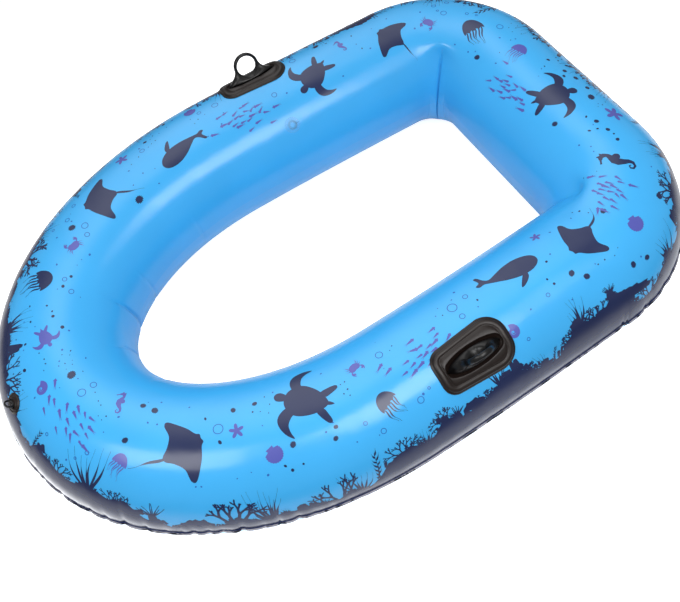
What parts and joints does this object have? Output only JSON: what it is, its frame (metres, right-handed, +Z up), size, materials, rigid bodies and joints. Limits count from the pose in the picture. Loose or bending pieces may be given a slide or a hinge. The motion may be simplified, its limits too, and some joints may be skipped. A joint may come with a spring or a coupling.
{
  "type": "inflatable boat",
  "caption": "Small inflatable boat: a D-shaped blue tube with a sea print, clear floor sheet, black oar rings, a bow towing eye and a push-in valve.",
  "frame": {"origin": "under the middle of the boat, on the surface it rests on", "axes": "+X to the bow, +Y to port, +Z up"},
  "size_m": [1.564, 1.074, 0.3467],
  "materials": {
    "printed_upper_pvc": "glossy printed film, sky blue with navy and violet sea motifs",
    "blue_lower_pvc": "glossy plain film",
    "clear_sheet_pvc": "clear, slightly wavy film",
    "black_patch_pvc": "satin moulded",
    "black_ring_pvc": "glossy moulded",
    "clear_valve_pvc": "clear soft moulded"
  },
  "bodies": {
    "hull": {"hull_upper_skin": "printed_upper_pvc", "hull_lower_skin": "blue_lower_pvc", "clear_floor_sheet": "clear_sheet_pvc", "oarlock_patch_port": "black_patch_pvc", "oarlock_patch_starboard": "black_patch_pvc", "oarlock_ring_port": "black_ring_pvc", "oarlock_ring_starboard": "black_ring_pvc", "bow_patch": "black_patch_pvc", "bow_eyelet": "black_ring_pvc", "valve_collar": "clear_valve_pvc"},
    "valve_stem": {"valve_stem": "clear_valve_pvc", "valve_strap": "clear_valve_pvc"},
    "valve_plug": {"valve_plug": "clear_valve_pvc"},
    "valve_flap": {"valve_flap": "clear_valve_pvc"}
  },
  "joints": [
    {"name": "valve_stem_pull", "type": "slide", "parent": "hull", "child": "valve_stem", "axis": [0.0117, 0.669, 0.7431], "range_m": [0, 0.014]},
    {"name": "valve_plug_pull", "type": "slide", "parent": "valve_stem", "child": "valve_plug", "axis": [0.0117, 0.669, 0.7431], "range_m": [0, 0.016], "deforming": ["valve_strap"]},
    {"name": "valve_flap_open", "type": "hinge", "parent": "valve_stem", "child": "valve_flap", "pos_m": [-0.09837, -0.28538, 0.24399], "axis": [0.9998, -0.0175, 0], "range_deg": [0, 50], "stiffness_Nm_per_rad": 0.0005, "springref_deg": -11.46}
  ]
}
